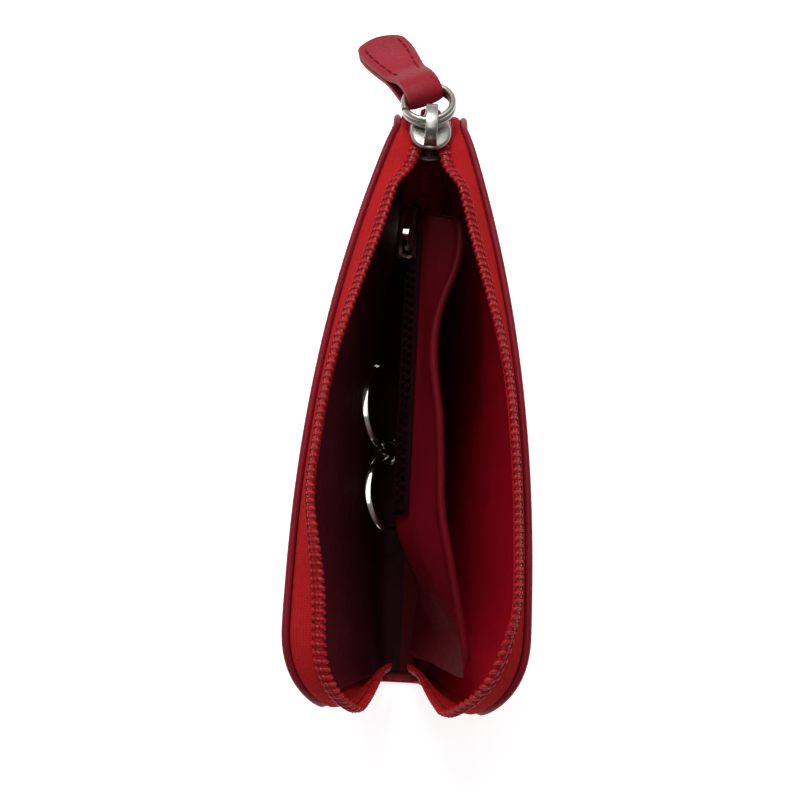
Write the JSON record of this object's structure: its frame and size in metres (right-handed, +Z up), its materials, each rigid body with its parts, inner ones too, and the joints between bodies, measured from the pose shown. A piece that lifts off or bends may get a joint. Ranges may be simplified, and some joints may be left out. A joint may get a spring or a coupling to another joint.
{
  "type": "coin purse",
  "caption": "Zip-around leather coin purse standing open on its spine, with a satin lining, a zipped inner pocket, key rings and a leather pull.",
  "frame": {"origin": "middle of the flat strip under the folded spine that the purse stands on", "axes": "+Z up, +Y along the spine to the end that stays zipped, +X to the side that carries the inner pocket"},
  "size_m": [0.0492, 0.1558, 0.0859],
  "materials": {
    "red_leather": "smooth, semi-gloss",
    "dark_satin": "satin weave",
    "scarlet_satin": "satin weave",
    "zip_tape": "ribbed weave",
    "zip_coil": "semi-gloss nylon",
    "dark_chrome": "polished gunmetal",
    "pocket_metal": "polished",
    "ring_steel": "polished steel"
  },
  "bodies": {
    "purse_base": {"leather_base": "red_leather", "lining_base": "dark_satin", "front_tape_far": "zip_tape", "back_tape_far": "zip_tape", "front_coil_far": "zip_coil", "back_coil_far": "zip_coil", "zip_end_stop": "dark_chrome", "pocket_inner_lower": "dark_satin", "pocket_outer_lower": "dark_satin", "key_tab": "dark_satin", "key_link": "ring_steel"},
    "front_flap": {"front_panel": "red_leather", "front_lining": "dark_satin", "front_tape": "zip_tape", "front_coil": "zip_coil", "front_start_stop": "zip_coil", "pocket_inner_upper": "scarlet_satin", "pocket_outer_upper": "scarlet_satin", "pocket_zip_tapes": "dark_satin", "pocket_zip_teeth": "pocket_metal", "pocket_zip_stops": "pocket_metal"},
    "back_flap": {"back_panel": "red_leather", "back_lining": "dark_satin", "back_tape": "zip_tape", "back_coil": "zip_coil", "back_start_stop": "zip_coil"},
    "zip_slider": {"slider_body": "dark_chrome", "slider_bail": "dark_chrome"},
    "split_ring": {"pull_ring": "dark_chrome"},
    "leather_pull": {"pull_strap": "red_leather"},
    "pocket_zip_slider": {"pocket_slider": "pocket_metal"},
    "pocket_zip_pull": {"pocket_pull": "pocket_metal"},
    "key_ring_a": {"key_ring_far": "ring_steel"},
    "key_ring_b": {"key_ring_near": "ring_steel"}
  },
  "joints": [
    {"name": "front_fold", "type": "hinge", "parent": "purse_base", "child": "front_flap", "pos_m": [0.01, -0.067, 0.007], "axis": [0.007, 0.8893, 0.4572], "range_deg": [-8, 15]},
    {"name": "back_fold", "type": "hinge", "parent": "purse_base", "child": "back_flap", "pos_m": [-0.01, -0.067, 0.007], "axis": [0.007, -0.8893, -0.4572], "range_deg": [-8, 15]},
    {"name": "zip_run", "type": "hinge", "parent": "purse_base", "child": "zip_slider", "pos_m": [0, 0.052, 0.063], "axis": [-1, 0, 0], "range_deg": [0, 70]},
    {"name": "ring_swing", "type": "hinge", "parent": "zip_slider", "child": "split_ring", "pos_m": [-0.0008, 0.05664, 0.08242], "axis": [0.9962, 0.0233, 0.084], "range_deg": [0, 150]},
    {"name": "pull_swing", "type": "hinge", "parent": "split_ring", "child": "leather_pull", "pos_m": [-0.00309, 0.06619, 0.07956], "axis": [0.8954, 0.4434, -0.0417], "range_deg": [-12, 36]},
    {"name": "pocket_zip_run", "type": "slide", "parent": "front_flap", "child": "pocket_zip_slider", "axis": [0, 1, 0], "range_m": [-0.056, 0]},
    {"name": "pocket_pull_swing", "type": "hinge", "parent": "pocket_zip_slider", "child": "pocket_zip_pull", "pos_m": [-0.00468, 0.034, 0.06612], "axis": [0.5662, -0.4226, 0.7077], "range_deg": [0, 70]},
    {"name": "far_ring_swing", "type": "hinge", "parent": "purse_base", "child": "key_ring_a", "pos_m": [-0.00641, -0.0023, 0.0132], "axis": [0, 1, 0], "range_deg": [0, 12]},
    {"name": "near_ring_swing", "type": "hinge", "parent": "purse_base", "child": "key_ring_b", "pos_m": [-0.00549, -0.0039, 0.01387], "axis": [0, 1, 0], "range_deg": [0, 12]}
  ]
}
